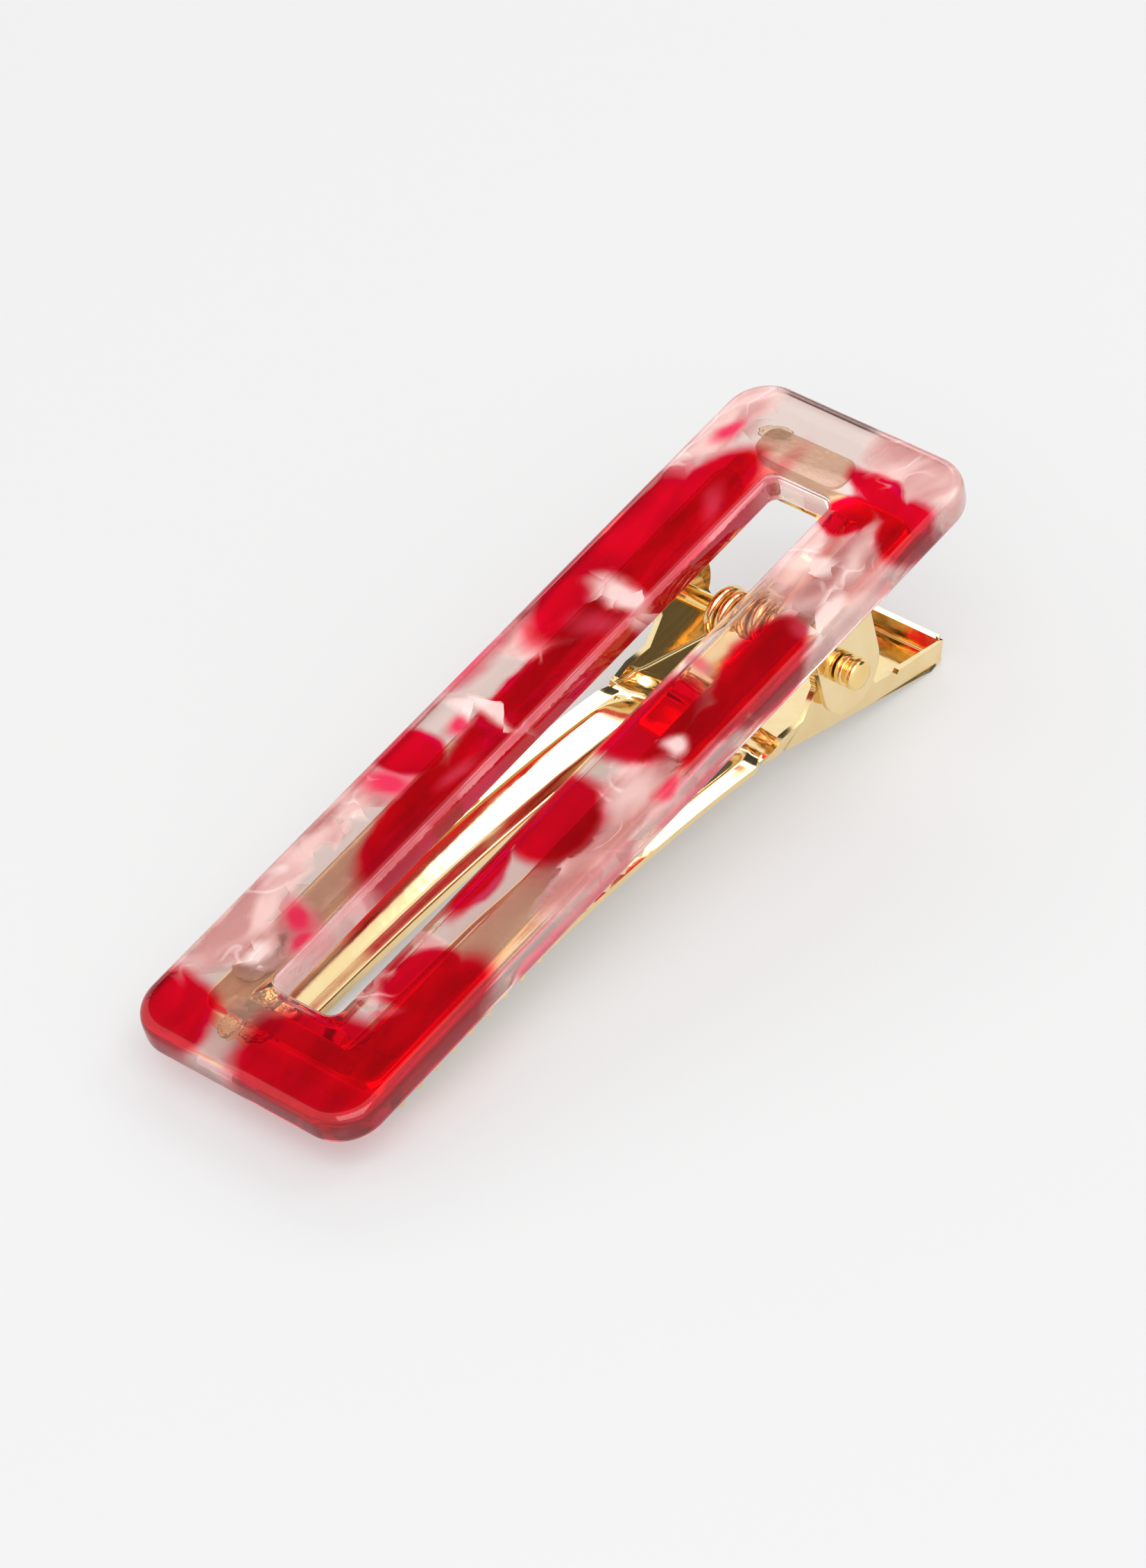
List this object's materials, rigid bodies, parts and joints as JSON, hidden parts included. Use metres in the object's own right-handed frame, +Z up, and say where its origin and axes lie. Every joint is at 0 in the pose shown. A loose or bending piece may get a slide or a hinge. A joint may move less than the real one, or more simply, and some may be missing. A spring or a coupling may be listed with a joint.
{
  "type": "hair barrette",
  "caption": "Rectangular marbled acetate hair barrette with an open centre, on a sprung gold alligator clip with toothed walls and a finger lever.",
  "frame": {"origin": "centre of the footprint, on the surface that the clip stands on", "axes": "+Z up, +Y from the front edge of the frame towards the finger lever, +X to the side of the ridged pin head"},
  "size_m": [0.022, 0.0734, 0.0195],
  "materials": {
    "acetate": "marbled clear, red and pearl pink cellulose acetate, tumbled and polished",
    "adhesive": "cured translucent beige epoxy film",
    "gold_plate": "stamped sheet, pale gold electroplate, polished",
    "gold_pin": "turned and riveted, pale gold electroplate",
    "spring_wire": "drawn spring wire, pale gold electroplate"
  },
  "bodies": {
    "frame": {"acetate_frame": "acetate", "adhesive_left": "adhesive", "adhesive_right": "adhesive", "adhesive_front": "adhesive", "adhesive_back": "adhesive", "upper_arm": "gold_plate", "pivot_pin": "gold_pin", "spring_upper_leg": "spring_wire"},
    "lever_arm": {"lower_arm": "gold_plate", "spring_coil": "spring_wire"}
  },
  "joints": [
    {"name": "clip_hinge", "type": "hinge", "parent": "frame", "child": "lever_arm", "pos_m": [0, 0.02224, 0.0086], "axis": [1, 0, 0], "range_deg": [0, 45], "stiffness_Nm_per_rad": 0.07, "springref_deg": -85.94}
  ]
}
